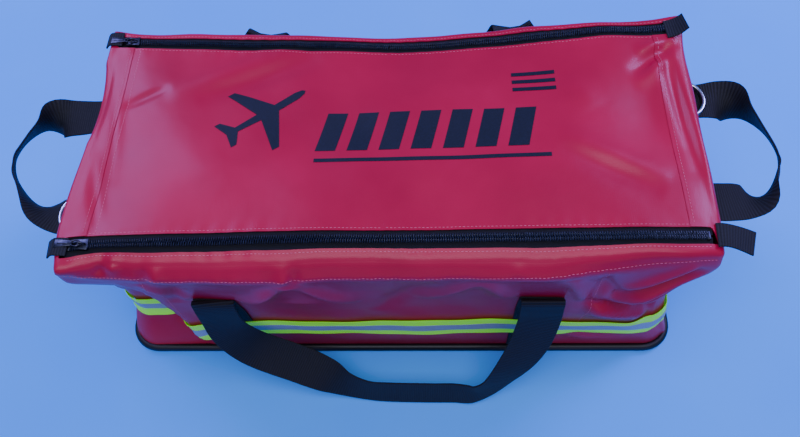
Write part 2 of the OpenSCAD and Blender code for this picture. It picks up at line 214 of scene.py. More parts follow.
# takes points of the bag as cut, in mm, to where the slumped cloth holds them
def soften(points):
    p = np.array(points, float).reshape(-1, 3)
    ideal = p.copy()
    x, y, z = p[:, 0].copy(), p[:, 1].copy(), p[:, 2].copy()
    half = halfLength(z)
    r = bag["cornerLow"] + (bag["cornerHigh"] - bag["cornerLow"]) * np.clip(z / bag["top"], 0, 1) ** 0.7
    a, b = roundCorner(np.abs(x) - half, np.abs(y) - bag["wall"], r)
    x, y = np.sign(x) * (half + a), np.sign(y) * (bag["wall"] + b)
    fold = np.full_like(z, bag["foldRadius"])
    b, c = roundCorner(np.abs(y) - bag["wall"], z - bag["top"], fold)
    y, z = np.sign(y) * (bag["wall"] + b), bag["top"] + c
    half = halfLength(np.minimum(z, bag["top"]))
    a, c = roundCorner(np.abs(x) - half, z - bag["top"], fold)
    x, z = np.sign(x) * (half + a), bag["top"] + c
    ix, iy, iz = ideal.T
    # how far each point belongs to a wall, an end, the top edge, or the right or left third of the front
    onFront, onBack = ease(134, 156, -iy), ease(134, 156, iy)
    onEnd = ease(316, 350, np.abs(ix))
    high = ease(268, 304, iz)
    rightFront = ease(150, 340, ix)
    leftFront = ease(210, 330, -ix)
    out = slump["frontOut"](iz) * (1 - 0.5 * leftFront) * (1 - 0.2 * onEnd * (ix < 0))
    out = out * (1 - 0.8 * rightFront * ease(120, 250, iz))
    y = y - onFront * out
    z = z - 5 * onFront * high * (1 - 0.5 * onEnd) * (1 - 0.7 * rightFront)
    y = y + onBack * slump["backOut"](iz) * (1 - 0.5 * onEnd)
    # the long top edges wander, and the upper walls and the top go with them
    upper = ease(120, 300, iz)
    nearFront, nearBack = ease(30, 128, -iy), ease(30, 128, iy)
    y = y + upper * (nearFront * slump["frontEdgeY"](ix) + nearBack * slump["backEdgeY"](ix))
    z = z + upper * (nearFront * slump["frontEdgeZ"](ix) + nearBack * slump["backEdgeZ"](ix))
    # long slow waves over every wall
    low = ease(4, 60, iz)
    waveX = (np.sin(ix / 47 + iz / 61) + 0.6 * np.sin(ix / 23 - iz / 38 + 1.7)
             + 0.3 * np.sin(ix / 11 + iz / 17))
    waveY = np.sin(iy / 33 + iz / 52 + 0.6) + 0.6 * np.sin(iy / 19 - iz / 31 + 2.1)
    waveZ = (np.sin(ix / 52 + iy / 41) + 0.6 * np.sin(ix / 29 - iy / 37 + 0.8)
             + 0.25 * np.sin(ix / 13 + iy / 21))
    y = y + (onBack - onFront) * low * 1.1 * waveX
    x = x + np.sign(ix) * ease(345, 352, np.abs(ix)) * low * 1.2 * waveY
    z = z + ease(290, 303, iz) * 0.9 * waveZ
    # seams pucker along the strip and beside the zips
    pucker = np.sin(ix / 3.1 + 2 * np.sin(ix / 37)) * (0.6 + 0.4 * np.sin(ix / 29 + 1))
    alongSeam = np.exp(-(((iz - 286) / 9) ** 2)) * (onFront + onBack)
    alongZip = np.exp(-(((np.abs(iy) - 147) / 5) ** 2)) + np.exp(-(((np.abs(iy) - 121) / 6) ** 2))
    y = y - np.sign(-iy) * 0.35 * pucker * alongSeam
    z = z + 0.4 * pucker * alongZip * ease(296, 303, iz)
    moved = np.column_stack([x, y, z])
    for centre, reach, push in pushes:
        d = (ideal - np.array(centre)) / np.array(reach)
        moved += np.exp(-(d * d).sum(axis=1))[:, None] * np.array(push, float)
    for start, end, width, push in creases:
        s, e = np.array(start, float), np.array(end, float)
        line = e - s
        t = (ideal - s) @ line / (line @ line)
        d = np.linalg.norm(ideal - s - np.clip(t, 0, 1)[:, None] * line, axis=1)
        taper = np.clip(np.sin(np.pi * np.clip(t * 0.86 + 0.07, 0, 1)), 0, 1) ** 0.8
        moved += (np.exp(-((d / width) ** 2)) * taper)[:, None] * np.array(push, float)
    for corner, push, heights, reach in caves:
        tall = ease(heights[0], heights[1], iz) * (1 - ease(heights[2], heights[3], iz))
        near = np.exp(-(((ix - corner[0]) / reach[0]) ** 2) - ((iy - corner[1]) / reach[1]) ** 2)
        moved[:, 0] += push[0] * tall * near
        moved[:, 1] += push[1] * tall * near
    # the front left corner is sucked in as far as a fold that leans across the wall
    fromFold = (ix + 289 - (258 - iz) * 0.116) / 7
    sucked = 0.5 * (1 - np.tanh(fromFold)) * np.exp(-(((iy + 156) / 74) ** 2)) * ease(-1, 1, -ix)
    moved[:, 1] += 36 * sucked * ease(-5, 80, iz) * (1 - ease(130, 244, iz))
    for face, start, end, amount, sharp, wide in laps:
        s, e = np.array(start, float), np.array(end, float)
        line = (e - s) / np.linalg.norm(e - s)
        side = np.array([-line[1], line[0]])
        q = np.column_stack([ix, iz]) - s
        t = q @ line / np.linalg.norm(e - s)
        d = q @ side
        taper = ease(-0.06, 0.25, t) * (1 - ease(0.75, 1.06, t))
        shape = np.tanh(d / sharp) * np.exp(-((d / wide) ** 2)) * taper * onFront
        moved[:, 1] -= amount * shape
        over = np.exp(-((d / (2.2 * sharp)) ** 2)) * taper * onFront
        moved[:, 0] -= side[0] * abs(amount) * 0.5 * over * np.sign(amount)
        moved[:, 2] -= side[1] * abs(amount) * 0.5 * over * np.sign(amount)
    return moved


def only(obj):
    bpy.ops.object.select_all(action="DESELECT")
    obj.select_set(True)
    bpy.context.view_layer.objects.active = obj


def applyAll(obj):
    only(obj)
    for modifier in list(obj.modifiers):
        bpy.ops.object.modifier_apply(modifier=modifier.name)


# puts the object's place, turn and scale into its mesh
def settle(obj):
    only(obj)
    bpy.ops.object.transform_apply(location=True, rotation=True, scale=True)


def smooth(obj, degrees=38):
    only(obj)
    bpy.ops.object.shade_smooth_by_angle(angle=math.radians(degrees))


def readCo(mesh):
    co = np.empty(len(mesh.vertices) * 3)
    mesh.vertices.foreach_get("co", co)
    return co.reshape(-1, 3)


def writeCo(mesh, co):
    mesh.vertices.foreach_set("co", np.asarray(co, float).ravel())
    mesh.update()


def unit(vectors):
    return vectors / np.linalg.norm(vectors, axis=1)[:, None]


def ordered(a, b):
    return min(a, b), max(a, b)


def meshObject(name, co, faces):
    mesh = bpy.data.meshes.new(name)
    mesh.from_pydata(co.tolist(), [], faces)
    mesh.update()
    obj = bpy.data.objects.new(name, mesh)
    bpy.context.collection.objects.link(obj)
    return obj


def turnOut(obj, degrees):
    only(obj)
    bpy.ops.object.mode_set(mode="EDIT")
    bpy.ops.mesh.select_all(action="SELECT")
    bpy.ops.mesh.normals_make_consistent(inside=False)
    bpy.ops.object.mode_set(mode="OBJECT")
    smooth(obj, degrees)
    return obj


# 4x4 places with these three directions as their axes
def placesAt(middles, first, second, third):
    places = np.zeros((len(middles), 4, 4))
    places[:, :3, 0], places[:, :3, 1], places[:, :3, 2] = first, second, third
    places[:, :3, 3], places[:, 3, 3] = middles, 1
    return places


def bevelledBlock(size, centre, edge):
    bpy.ops.object.select_all(action="DESELECT")
    bpy.ops.mesh.primitive_cube_add(size=1, location=[c * mm for c in centre])
    block = bpy.context.object
    block.scale = [s * mm for s in size]
    settle(block)
    bpy.ops.object.mode_set(mode="EDIT")
    bpy.ops.mesh.select_all(action="SELECT")
    bpy.ops.mesh.bevel(offset=edge * mm, segments=3)
    bpy.ops.object.mode_set(mode="OBJECT")
    return block


def wearMaterial(obj, material):
    obj.data.materials.clear()
    obj.data.materials.append(material)


def standFor(obj, nodeNames, material):
    if nodeNames:
        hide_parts(*nodeNames)
    wearMaterial(obj, material)
    return obj


# a sheet of quads through an array of points in mm, rows first, with its flat cut as the UV map
def gridPiece(name, spots, flatUV, outward):
    rows, columns = spots.shape[0], spots.shape[1]
    bpy.ops.object.select_all(action="DESELECT")
    bpy.ops.mesh.primitive_grid_add(x_subdivisions=columns - 1, y_subdivisions=rows - 1, size=1)
    obj = bpy.context.object
    obj.name = name
    obj.data.name = name
    writeCo(obj.data, spots.reshape(-1, 3) * mm)
    if not obj.data.uv_layers:
        obj.data.uv_layers.new(name="flatCut")
    corner = np.empty(len(obj.data.loops), int)
    obj.data.loops.foreach_get("vertex_index", corner)
    obj.data.uv_layers[0].data.foreach_set("uv", (flatUV.reshape(-1, 2)[corner] * mm).ravel())
    obj.data.update()
    middle = obj.data.polygons[len(obj.data.polygons) // 2]
    if middle.normal.dot(Vector(outward)) < 0:
        obj.data.flip_normals()
    return obj


def thicken(obj, thickness, offset=-1.0):
    solid = obj.modifiers.new("thickness", "SOLIDIFY")
    solid.thickness = thickness * mm
    solid.offset = offset
    solid.use_even_offset = False
    applyAll(obj)
    smooth(obj, 50)
    return obj


faceOut = {
    "front": (0, -1, 0), "back": (0, 1, 0), "left": (-1, 0, 0), "right": (1, 0, 0), "top": (0, 0, 1),
}


# points on a wall as cut: s along it, t up it (across it on the top), out of it
def onFace(face, s, t, out):
    s, t, out = np.broadcast_arrays(np.asarray(s, float), np.asarray(t, float), np.asarray(out, float))
    if face == "front":
        return np.stack([s, -bag["wall"] - out, t], axis=-1)
    if face == "back":
        return np.stack([s, bag["wall"] + out, t], axis=-1)
    if face == "left":
        return np.stack([-halfLength(t) - out, s, t], axis=-1)
    if face == "right":
        return np.stack([halfLength(t) + out, s, t], axis=-1)
    return np.stack([s, t, bag["top"] + out], axis=-1)


# a flat-cut piece laid on one wall, then slumped with it
def patch(name, face, sRange, tRange, out, thickness, cell=4.0, offset=-1.0, flare=False):
    sCount = max(2, int(round(abs(sRange[1] - sRange[0]) / cell)) + 1)
    tCount = max(2, int(round(abs(tRange[1] - tRange[0]) / cell)) + 1)
    s, t = np.meshgrid(np.linspace(*sRange, sCount), np.linspace(*tRange, tCount))
    ideal = onFace(face, s * halfLength(t) / halfLength(85) if flare else s, t, out)
    soft = soften(ideal).reshape(ideal.shape)
    obj = gridPiece(name, soft, np.stack([s, t], axis=-1), faceOut[face])
    return thicken(obj, thickness, offset)


# an even-spaced smooth line through the knots, whatever their width
def spline(knots, spacing):
    knots = np.array(knots, float)
    first = 2 * knots[0] - knots[1]
    last = 2 * knots[-1] - knots[-2]
    k = np.vstack([first, knots, last])
    line = []
    for i in range(1, len(k) - 2):
        for t in np.linspace(0, 1, 24, endpoint=False):
            a = 2 * k[i]
            b = k[i + 1] - k[i - 1]
            c = 2 * k[i - 1] - 5 * k[i] + 4 * k[i + 1] - k[i + 2]
            d = -k[i - 1] + 3 * k[i] - 3 * k[i + 1] + k[i + 2]
            line.append(0.5 * (a + b * t + c * t * t + d * t ** 3))
    line.append(k[-2])
    line = np.array(line)
    length = np.concatenate([[0], np.cumsum(np.linalg.norm(np.diff(line[:, :3], axis=0), axis=1))])
    count = max(3, int(length[-1] / spacing) + 1)
    even = np.linspace(0, length[-1], count)
    return np.column_stack([np.interp(even, length, line[:, i]) for i in range(line.shape[1])]), even


# a flat strap swept along knots of (x, y, z, width direction x, y, z), with its woven length as UV
def webbing(name, knots, width, thick, spacing=3.5, cup=0.0):
    line, along = spline(knots, spacing)
    path, across = line[:, :3], line[:, 3:6]
    ahead = unit(np.gradient(path, axis=0))
    across = unit(across - (across * ahead).sum(axis=1)[:, None] * ahead)
    up = np.cross(across, ahead)
    h, t, c = width / 2, thick / 2, thick * 0.32
    section = [(-h, -t + c), (-h + c, -t), (-h / 2, -t), (0, -t), (h / 2, -t), (h - c, -t), (h, -t + c),
               (h, t - c), (h - c, t), (h / 2, t), (0, t), (-h / 2, t), (-h + c, t), (-h, t - c)]
    section = np.array(section, float)
    section[:, 1] += cup * (1 - (section[:, 0] / h) ** 2)
    rings = len(path)
    n = len(section)
    co = path[:, None, :] + section[None, :, :1] * across[:, None, :] + section[None, :, 1:] * up[:, None, :]
    co = co.reshape(-1, 3)
    i = np.arange(rings - 1)[:, None] * n
    j = np.arange(n)[None, :]
    k = (j + 1) % n
    faces = np.stack([i + j, i + k, i + n + k, i + n + j], axis=-1).reshape(-1, 4).tolist()
    faces.append(list(range(n))[::-1])
    faces.append([(rings - 1) * n + q for q in range(n)])
    obj = meshObject(name, co * mm, faces)
    layer = obj.data.uv_layers.new(name="woven")
    corner = np.empty(len(obj.data.loops), int)
    obj.data.loops.foreach_get("vertex_index", corner)
    uv = np.column_stack([section[corner % n, 0], along[corner // n]]) * mm
    layer.data.foreach_set("uv", uv.ravel())
    return turnOut(obj, 40)


# a round wire or cord bead along a line of points in mm
def wire(name, path, radius, sides=12, closed=True, flat=1.0):
    path = np.array(path, float)
    ahead = np.roll(path, -1, axis=0) - np.roll(path, 1, axis=0) if closed else np.gradient(path, axis=0)
    ahead = unit(ahead)
    sideways = unit(np.cross(ahead, np.array([0, 0, 1.0])))
    up = np.cross(sideways, ahead)
    angle = np.arange(sides) * 2 * math.pi / sides
    co = (path[:, None, :] + radius * np.cos(angle)[None, :, None] * sideways[:, None, :]
          + radius * flat * np.sin(angle)[None, :, None] * up[:, None, :]).reshape(-1, 3)
    rings = len(path)
    span = rings if closed else rings - 1
    i = np.arange(span)[:, None]
    j = np.arange(sides)[None, :]
    k = (j + 1) % sides
    nextRing = ((i + 1) % rings) * sides
    faces = np.stack([i * sides + j, i * sides + k, nextRing + k, nextRing + j], axis=-1)
    faces = faces.reshape(-1, 4).tolist()
    if not closed:
        faces.append(list(range(sides))[::-1])
        faces.append([(rings - 1) * sides + q for q in range(sides)])
    return turnOut(meshObject(name, co * mm, faces), 60)


# one mesh that holds a copy of seed's at each 4x4 place, and the seed is taken away
def repeat(name, seed, places):
    co = readCo(seed.data)
    faces = [list(p.vertices) for p in seed.data.polygons]
    places = np.array(places, float)
    n = len(co)
    everything = np.einsum("kij,nj->kni", places[:, :3, :3], co) + places[:, None, :3, 3]
    allFaces = [[v + n * k for v in f] for k in range(len(places)) for f in faces]
    obj = meshObject(name, everything.reshape(-1, 3), allFaces)
    bpy.data.objects.remove(seed, do_unlink=True)
    smooth(obj, 60)
    return obj


def join(name, parts):
    bpy.ops.object.select_all(action="DESELECT")
    for part in parts:
        part.select_set(True)
    bpy.context.view_layer.objects.active = parts[0]
    bpy.ops.object.join()
    obj = bpy.context.object
    obj.name = name
    obj.data.name = name
    return obj


def linear(hexColour):
    values = [int(hexColour[i:i + 2], 16) / 255 for i in (1, 3, 5)]
    return tuple(v / 12.92 if v <= 0.04045 else ((v + 0.055) / 1.055) ** 2.4 for v in values) + (1.0,)


def addNode(tree, kind, values=None, links=None, stops=(), **settings):
    node = tree.nodes.new(kind)
    for key, value in settings.items():
        setattr(node, key, value)
    for key, value in (values or {}).items():
        node.inputs[key].default_value = value
    for key, source in (links or {}).items():
        tree.links.new(source, node.inputs[key])
    if stops:
        elements = node.color_ramp.elements
        while len(elements) < len(stops):
            elements.new(0.5)
        for element, (at, colour) in zip(elements, stops):
            element.position = at
            element.color = linear(colour)
    return node


def newMaterial(name, **shaderValues):
    material = bpy.data.materials.new(name)
    material.use_nodes = True
    tree = material.node_tree
    tree.nodes.clear()
    shader = addNode(tree, "ShaderNodeBsdfPrincipled", values=shaderValues)
    addNode(tree, "ShaderNodeOutputMaterial", links={"Surface": shader.outputs[0]})
    return material, tree, shader


# PVC laid on a polyester scrim by calender: a wet gloss with the weave faintly printed through
def coatedCloth(name, red, deep, pale):
    material, tree, shader = newMaterial(name, **{"IOR": 1.53, "Specular IOR Level": 0.22,
                                                  "Coat Weight": 0.06, "Coat Roughness": 0.15})
    place = addNode(tree, "ShaderNodeTexCoord")
    cut = addNode(tree, "ShaderNodeMapping", links={"Vector": place.outputs["UV"]})
    patches = addNode(tree, "ShaderNodeTexNoise", {"Scale": 9.0, "Detail": 3.0},
                      {"Vector": place.outputs["Object"]})
    fine = addNode(tree, "ShaderNodeTexNoise", {"Scale": 420.0, "Detail": 2.0},
                   {"Vector": place.outputs["Object"]})
    tint = addNode(tree, "ShaderNodeValToRGB", links={"Fac": patches.outputs["Fac"]},
                   stops=[(0.3, deep), (0.55, red), (0.8, pale)])
    apart = addNode(tree, "ShaderNodeSeparateXYZ", links={"Vector": place.outputs["Object"]})
    scuff = addNode(tree, "ShaderNodeMapRange", {"From Min": 0.05, "From Max": 0.0, "To Max": 0.35},
                    {"Value": apart.outputs["Z"]})
    dust = addNode(tree, "ShaderNodeMath", links={0: scuff.outputs[0], 1: patches.outputs["Fac"]},
                   operation="MULTIPLY")
    # floor dust caught in the coating; inputs 6 and 7 are the two colours
    colour = addNode(tree, "ShaderNodeMix", {7: linear("#7b5a62")},
                     {0: dust.outputs[0], 6: tint.outputs["Color"]}, data_type="RGBA")
    tree.links.new(colour.outputs[2], shader.inputs["Base Color"])
    gloss = addNode(tree, "ShaderNodeMapRange", {"To Min": 0.30, "To Max": 0.44},
                    {"Value": patches.outputs["Fac"]})
    tree.links.new(gloss.outputs[0], shader.inputs["Roughness"])
    # scrim threads both ways: 1.1 mm apart in the cloth, drawn at 2.2 mm so that they show
    warp = addNode(tree, "ShaderNodeTexWave", {"Scale": 145.0, "Distortion": 0.3}, {"Vector": cut.outputs[0]},
                   bands_direction="X")
    weft = addNode(tree, "ShaderNodeTexWave", {"Scale": 145.0, "Distortion": 0.3}, {"Vector": cut.outputs[0]},
                   bands_direction="Y")
    scrim = addNode(tree, "ShaderNodeMath", links={0: warp.outputs["Fac"], 1: weft.outputs["Fac"]},
                    operation="ADD")
    weave = addNode(tree, "ShaderNodeBump", {"Strength": 0.12, "Distance": 0.00012},
                    {"Height": scrim.outputs[0]})
    grain = addNode(tree, "ShaderNodeBump", {"Strength": 0.18, "Distance": 0.00018},
                    {"Height": fine.outputs["Fac"], "Normal": weave.outputs[0]})
    dents = addNode(tree, "ShaderNodeTexNoise", {"Scale": 26.0, "Detail": 2.0},
                    {"Vector": place.outputs["Object"]})
    handled = addNode(tree, "ShaderNodeBump", {"Strength": 0.35, "Distance": 0.0016},
                      {"Height": dents.outputs["Fac"], "Normal": grain.outputs[0]})
    tree.links.new(handled.outputs[0], shader.inputs["Normal"])
    return material


# nylon webbing or tape off the loom: ribs across its length, a dry sheen, lint in the hollows
def wovenNylon(name, dark, light, pitch, gloss):
    material, tree, shader = newMaterial(name, **{"Roughness": gloss, "IOR": 1.53, "Specular IOR Level": 0.22,
                                                  "Sheen Weight": 0.02})
    place = addNode(tree, "ShaderNodeTexCoord")
    ribs = addNode(tree, "ShaderNodeTexWave", {"Scale": 0.159 / pitch * 2, "Distortion": 0.4},
                   {"Vector": place.outputs["UV"]}, bands_direction="Y")
    ends = addNode(tree, "ShaderNodeTexWave", {"Scale": 0.159 / (pitch * 0.55) * 2, "Distortion": 0.6},
                   {"Vector": place.outputs["UV"]}, bands_direction="X")
    both = addNode(tree, "ShaderNodeMath", {1: 0.45}, {0: ends.outputs["Fac"]}, operation="MULTIPLY")
    cloth = addNode(tree, "ShaderNodeMath", links={0: ribs.outputs["Fac"], 1: both.outputs[0]},
                    operation="ADD")
    tint = addNode(tree, "ShaderNodeValToRGB", links={"Fac": cloth.outputs[0]},
                   stops=[(0.1, dark), (1.0, light)])
    tree.links.new(tint.outputs["Color"], shader.inputs["Base Color"])
    raised = addNode(tree, "ShaderNodeBump", {"Strength": 0.7, "Distance": 0.0005},
                     {"Height": cloth.outputs[0]})
    lint = addNode(tree, "ShaderNodeTexNoise", {"Scale": 900.0, "Detail": 2.0},
                   {"Vector": place.outputs["Object"]})
    fuzz = addNode(tree, "ShaderNodeBump", {"Strength": 0.3, "Distance": 0.0002},
                   {"Height": lint.outputs["Fac"], "Normal": raised.outputs[0]})
    tree.links.new(fuzz.outputs[0], shader.inputs["Normal"])
    return material


# a moulded or cast skin: two close shades and a fine texture from the mould
def speckled(name, dark, light, scale, bump, **shaderValues):
    material, tree, shader = newMaterial(name, **shaderValues)
    place = addNode(tree, "ShaderNodeTexCoord")
    grit = addNode(tree, "ShaderNodeTexNoise", {"Scale": scale, "Detail": 4.0},
                   {"Vector": place.outputs["Object"]})
    tint = addNode(tree, "ShaderNodeValToRGB", links={"Fac": grit.outputs["Fac"]},
                   stops=[(0.35, dark), (0.7, light)])
    tree.links.new(tint.outputs["Color"], shader.inputs["Base Color"])
    texture = addNode(tree, "ShaderNodeBump", {"Strength": 0.3, "Distance": bump},
                      {"Height": grit.outputs["Fac"]})
    tree.links.new(texture.outputs[0], shader.inputs["Normal"])
    return material


# prismatic safety tape: a clear skin welded in small diamonds over bright pigment or tiny mirrors
def retroTape(name, dark, light, gloss, cell, **shaderValues):
    material, tree, shader = newMaterial(name, **{"Roughness": gloss, "IOR": 1.5, **shaderValues})
    place = addNode(tree, "ShaderNodeTexCoord")
    turned = addNode(tree, "ShaderNodeMapping", {"Rotation": (0, 0, math.radians(45))},
                     {"Vector": place.outputs["UV"]})
    a = addNode(tree, "ShaderNodeTexWave", {"Scale": 0.159 / cell * 2}, {"Vector": turned.outputs[0]},
                bands_direction="X")
    b = addNode(tree, "ShaderNodeTexWave", {"Scale": 0.159 / cell * 2}, {"Vector": turned.outputs[0]},
                bands_direction="Y")
    diamonds = addNode(tree, "ShaderNodeMath", links={0: a.outputs["Fac"], 1: b.outputs["Fac"]},
                       operation="MULTIPLY")
    tint = addNode(tree, "ShaderNodeValToRGB", links={"Fac": diamonds.outputs[0]},
                   stops=[(0.0, dark), (0.6, light)])
    tree.links.new(tint.outputs["Color"], shader.inputs["Base Color"])
    welds = addNode(tree, "ShaderNodeBump", {"Strength": 0.25, "Distance": 0.0003},
                    {"Height": diamonds.outputs[0]})
    tree.links.new(welds.outputs[0], shader.inputs["Normal"])
    return material


redCloth = coatedCloth("gloss_red_pvc_coated_polyester", "#a00434", "#970330", "#a9083b")
blackWeb = wovenNylon("black_nylon_webbing", "#010103", "#14161f", 0.003, 0.66)
tapeCloth = wovenNylon("black_polyester_zip_tape", "#020306", "#0a0c13", 0.0011, 0.7)
# the coil's dark navy-grey is partly painted sheen: the black nylon is lightened to stand in for the
# highlights on its turns
coilNylon = speckled("black_nylon_monofilament_coil", "#181c29", "#30374c", 300, 0.00005,
                     **{"Roughness": 0.25, "IOR": 1.53})
baseSkin = speckled("moulded_black_pvc_base", "#050609", "#0e1015", 700, 0.0002,
                    **{"Roughness": 0.46, "IOR": 1.53, "Specular IOR Level": 0.35})
boardPlastic = speckled("grey_polyethylene_board", "#3d4046", "#54585f", 200, 0.0002,
                        **{"Roughness": 0.55, "IOR": 1.51})
# the lime tape's emission is a painted glow: it stands in for the fluorescent pigment's extra brightness and
# lifts the lime past what the lamps give
limeTapeWithPaintedGlow = retroTape("fluorescent_lime_pvc_tape_painted_glow", "#84ec00", "#a9ff18", 0.42, 0.0022,
                     **{"Emission Color": linear("#6fe000"), "Emission Strength": 0.22})
silverTape = retroTape("silver_prismatic_tape", "#83878c", "#b4b8bd", 0.4, 0.0022, **{"Metallic": 0.25})
navyInk = speckled("navy_screen_ink", "#040918", "#0a1024", 500, 0.00004,
                   **{"Roughness": 0.5, "IOR": 1.5, "Specular IOR Level": 0.3})
nickelSteel = speckled("nickel_plated_steel_wire", "#b9c0ca", "#d3d9e0", 120, 0.00003,
                       **{"Metallic": 1.0, "Roughness": 0.2})
gunmetal = speckled("gunmetal_plated_zinc_casting", "#2a2c33", "#474a52", 260, 0.00006,
                    **{"Metallic": 1.0, "Roughness": 0.3})
palePolyThread = speckled("pale_pink_polyester_thread", "#c9546e", "#dd7d93", 1500, 0.0001,
                          **{"Roughness": 0.55, "IOR": 1.53})
blackThread = speckled("black_polyester_thread", "#15171e", "#262932", 1500, 0.0001,
                       **{"Roughness": 0.5, "IOR": 1.53})
print("materials ready")


# base: moulded tray edge, sole and stiffener
base = {"halfX": 377, "halfY": 157, "radius": 39, "lipRadius": 5.4, "lipZ": 6.2, "sole": 3.0,
        "boardX": 362, "boardY": 144, "boardRadius": 32, "boardLow": 3.4, "boardHigh": 8.4}


def roundedRectangle(halfX, halfY, radius, z, spacing=6):
    line = []
    for cx, cy, turn in ((1, 1, 0), (-1, 1, 90), (-1, -1, 180), (1, -1, 270)):
        for step in range(10):
            a = math.radians(turn + step * 10)
            line.append((cx * (halfX - radius) + radius * math.cos(a),
                         cy * (halfY - radius) + radius * math.sin(a), z))
    line = np.array(line)
    closedLine = np.vstack([line, line[:1]])
    length = np.concatenate([[0], np.cumsum(np.linalg.norm(np.diff(closedLine, axis=0), axis=1))])
    even = np.arange(0, length[-1], length[-1] / round(length[-1] / spacing))
    return np.column_stack([np.interp(even, length, closedLine[:, i]) for i in range(3)])


def plate(name, halfX, halfY, radius, low, high, edge):
    bpy.ops.object.select_all(action="DESELECT")
    bpy.ops.mesh.primitive_cube_add(size=1, location=(0, 0, (low + high) / 2 * mm))
    obj = bpy.context.object
    obj.name = name
    obj.data.name = name
    obj.scale = (2 * halfX * mm, 2 * halfY * mm, (high - low) * mm)
    settle(obj)
    bpy.ops.object.mode_set(mode="EDIT")
    bpy.ops.mesh.select_mode(type="EDGE")
    bpy.ops.mesh.select_all(action="DESELECT")
    bpy.ops.object.mode_set(mode="OBJECT")
    for e in obj.data.edges:
        a, b = (obj.data.vertices[v].co for v in e.vertices)
        e.select = abs(a.z - b.z) > 0.5 * (high - low) * mm
    bpy.ops.object.mode_set(mode="EDIT")
    bpy.ops.mesh.bevel(offset=radius * mm, segments=10, profile=0.5)
    bpy.ops.mesh.select_all(action="DESELECT")
    bpy.ops.object.mode_set(mode="OBJECT")
    for e in obj.data.edges:
        a, b = (obj.data.vertices[v].co for v in e.vertices)
        e.select = abs(a.z - b.z) < 1e-6 and a.z > (low + high) / 2 * mm
    bpy.ops.object.mode_set(mode="EDIT")
    bpy.ops.mesh.bevel(offset=edge * mm, segments=2, profile=0.6)
    bpy.ops.object.mode_set(mode="OBJECT")
    smooth(obj, 30)
    return obj


sole = plate("base_sole", base["halfX"] - 2, base["halfY"] - 2, base["radius"], 0, base["sole"], 0.8)
standFor(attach(sole, "shell"), ["base_panel"], baseSkin)
lipLine = roundedRectangle(base["halfX"] - base["lipRadius"], base["halfY"] - base["lipRadius"],
                           base["radius"] - 4, base["lipZ"])
lip = wire("base_lip", lipLine, base["lipRadius"], sides=14, flat=1.12)
standFor(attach(lip, "shell"), ["base_piping"], baseSkin)
board = plate("stiffener_board", base["boardX"], base["boardY"], base["boardRadius"], base["boardLow"],
              base["boardHigh"], 1.0)
standFor(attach(board, "shell"), ["base_board"], boardPlastic)
print("base made")

# red cloth: rows of the long and end walls from the base up, and steps of the strip turned in on top
cloth = {"rows": np.concatenate([np.arange(3, 250, 4.2), np.arange(250, 305, 2.4), [305.0]]),
         "stripIn": np.array([2.2, 4.6, 7.0, 9.2, 11.2]),
         "flapIn": np.array([2.2, 4.6, 7.0, 9.4, 12, 15, 19, 23, 27, 31, 35.5]), "cell": 4.2}


# one long wall and the narrow strip it folds into, up to the zip
def longWall(name, side, nodeNames):
    heights = cloth["rows"]
    columns = int(2 * bag["halfLow"] / cloth["cell"]) + 1
    share = np.linspace(-1, 1, columns)
    wallRows = np.stack([np.stack([share * halfLength(z), np.full(columns, side * bag["wall"]),
                                   np.full(columns, z)], axis=-1) for z in heights])
    stripRows = np.stack([np.stack([share * halfLength(bag["top"]),
                                    np.full(columns, side * (bag["wall"] - inward)),
                                    np.full(columns, bag["top"])], axis=-1) for inward in cloth["stripIn"]])
    ideal = np.concatenate([wallRows, stripRows])
    flat = np.concatenate([heights, bag["top"] + cloth["stripIn"]])
    uv = np.stack(np.broadcast_arrays(share[None, :] * bag["halfLow"], flat[:, None]), axis=-1)
    obj = gridPiece(name, soften(ideal).reshape(ideal.shape), uv, (0, side, 0))
    thicken(obj, bag["cloth"])
    standFor(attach(obj, "shell"), nodeNames, redCloth)
    return obj


# one end wall and the flap it turns over on the top
def endWall(name, side, nodeNames):
    heights = cloth["rows"]
    turnIn = cloth["flapIn"]
    columns = int(2 * bag["wall"] / cloth["cell"]) + 1
    share = np.linspace(-1, 1, columns)
    wallRows = np.stack([np.stack([np.full(columns, side * halfLength(z)), share * bag["wall"],
                                   np.full(columns, z)], axis=-1) for z in heights])
    halfTop = halfLength(bag["top"])
    flapRows = np.stack([np.stack([np.full(columns, side * (halfTop - inward)),
                                   share * (bag["wall"] - 30.0 * ease(0, 14, inward)),
                                   np.full(columns, bag["top"] + 0.7 * ease(10, 16, inward))], axis=-1)
                         for inward in turnIn])
    ideal = np.concatenate([wallRows, flapRows])
    flat = np.concatenate([heights, bag["top"] + turnIn])
    uv = np.stack(np.broadcast_arrays(share[None, :] * bag["wall"], flat[:, None]), axis=-1)
    obj = gridPiece(name, soften(ideal).reshape(ideal.shape), uv, (side, 0, 0))
    thicken(obj, bag["cloth"])
    standFor(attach(obj, "shell"), nodeNames, redCloth)
    return obj


longWall("front_cloth", -1, ["front_panel", "front_top_strip"])
longWall("back_cloth", 1, ["back_panel", "back_top_strip"])
endWall("left_cloth", -1, ["left_end_panel", "left_top_flap"])
endWall("right_cloth", 1, ["right_end_panel", "right_top_flap"])

lid = {"halfX": 316.5, "halfY": 126.0, "blendFrom": 0.315}


# a piece on the lid, sewn fast at its end of the bag: its place goes into its mesh
def onLid(obj):
    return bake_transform(obj)


for side, word in ((-1, "left"), (1, "right")):
    half = patch("top_cloth_" + word, "top", ordered(0, side * lid["halfX"]),
                 (-lid["halfY"], lid["halfY"]), 0, bag["cloth"])
    onLid(half)
    standFor(half, ["top_panel"] if side < 0 else [], redCloth)

doublers = {"halfWidth": 249.8, "low": 30, "high": 287, "middle": {"front": -14, "back": 0}}
for face, middle in doublers["middle"].items():
    doubler = patch(face + "_doubler", face, (middle - doublers["halfWidth"], middle + doublers["halfWidth"]),
                    (doublers["low"], doublers["high"]), -2.6, bag["cloth"], cell=6)
    standFor(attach(doubler, "shell"), [face + "_backing"], redCloth)
print("red cloth sewn")

